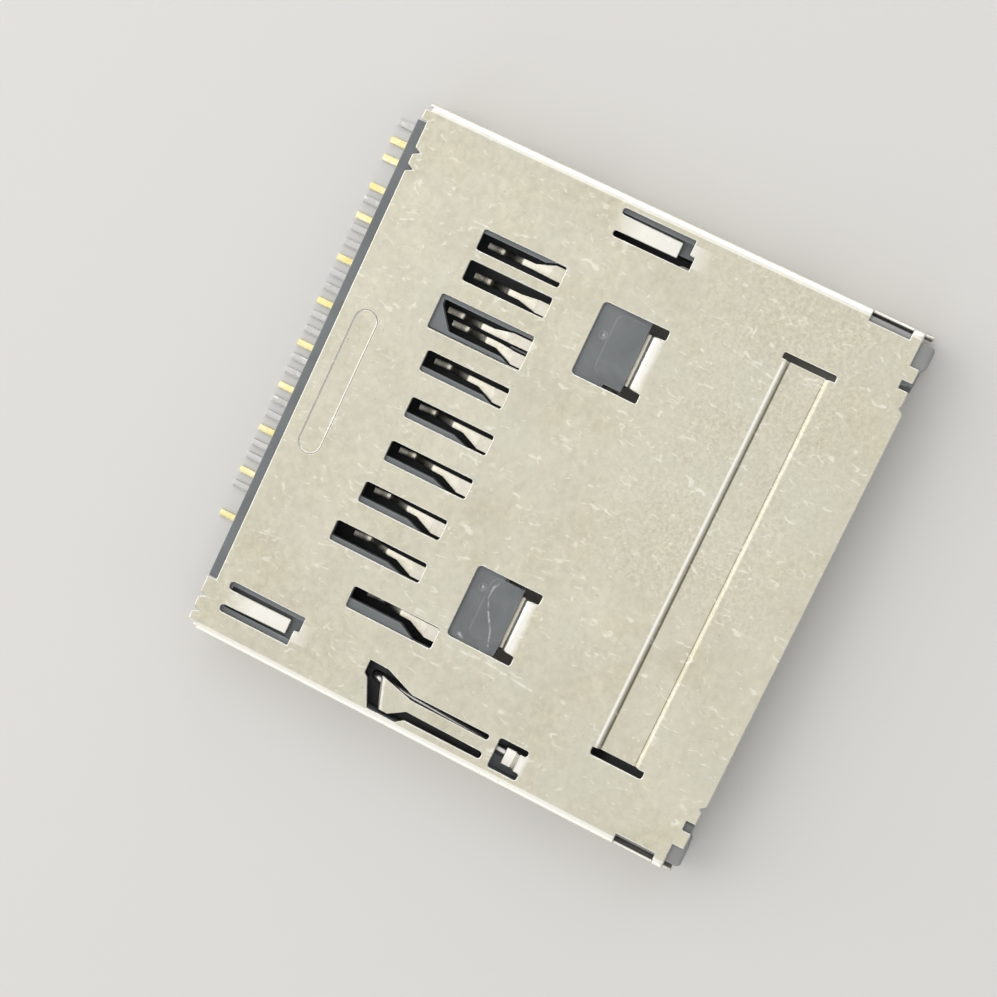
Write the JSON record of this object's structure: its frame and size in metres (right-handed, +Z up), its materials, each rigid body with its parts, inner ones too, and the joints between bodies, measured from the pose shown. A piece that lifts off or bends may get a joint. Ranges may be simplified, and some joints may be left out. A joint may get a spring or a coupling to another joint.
{
  "type": "sd card socket",
  "caption": "Surface-mount push-push memory card socket: folded metal cover over a dark moulded housing with spring contacts, solder leads and a sprung eject slider.",
  "frame": {"origin": "centre of the bounding box at board level, the plane of the solder leads", "axes": "+Z up from the circuit board to the cover, +Y the way the card goes in, +X to the side of the switch rail"},
  "size_m": [0.0302, 0.0304, 0.0032],
  "materials": {
    "cover_nickel": "satin nickel plate with a warm tint",
    "housing_plastic": "moulded dark grey thermoplastic",
    "terminal_gold": "pale gold plate",
    "terminal_silver": "bright tin or nickel plate",
    "slider_plastic": "moulded black thermoplastic",
    "spring_steel": "drawn steel wire"
  },
  "bodies": {
    "socket": {"cover": "cover_nickel", "housing": "housing_plastic", "contact_8": "terminal_gold", "contact_7": "terminal_gold", "contact_6": "terminal_gold", "contact_5": "terminal_gold", "contact_4": "terminal_gold", "contact_3": "terminal_gold", "contact_2": "terminal_gold", "contact_1": "terminal_gold", "contact_9": "terminal_gold", "row2_contact_1": "terminal_silver", "row2_contact_2": "terminal_silver", "row2_contact_3": "terminal_silver", "row2_contact_4": "terminal_silver", "row2_contact_5": "terminal_silver", "row2_contact_6": "terminal_silver", "row2_contact_7": "terminal_silver", "row2_contact_8": "terminal_silver", "switch_common": "terminal_silver", "write_protect_spring": "terminal_gold", "card_detect_spring": "terminal_gold", "eject_spring": "spring_steel"},
    "slider": {"slider": "slider_plastic"},
    "cam_pin": {"cam_pin": "spring_steel"}
  },
  "joints": [
    {"name": "slider_slide", "type": "slide", "parent": "socket", "child": "slider", "axis": [0, 1, 0], "range_m": [0, 0.0046], "stiffness_N_per_m": 200, "springref_m": -0.0025, "deforming": ["eject_spring"]},
    {"name": "cam_pin_swing", "type": "hinge", "parent": "socket", "child": "cam_pin", "pos_m": [-0.0135, -0.005, 0.002], "axis": [0, 0, 1], "range_deg": [0, 6]}
  ],
  "couplings": [
    {"joint": "cam_pin_swing", "follows": "slider_slide", "rad_per_m": 22.76}
  ]
}
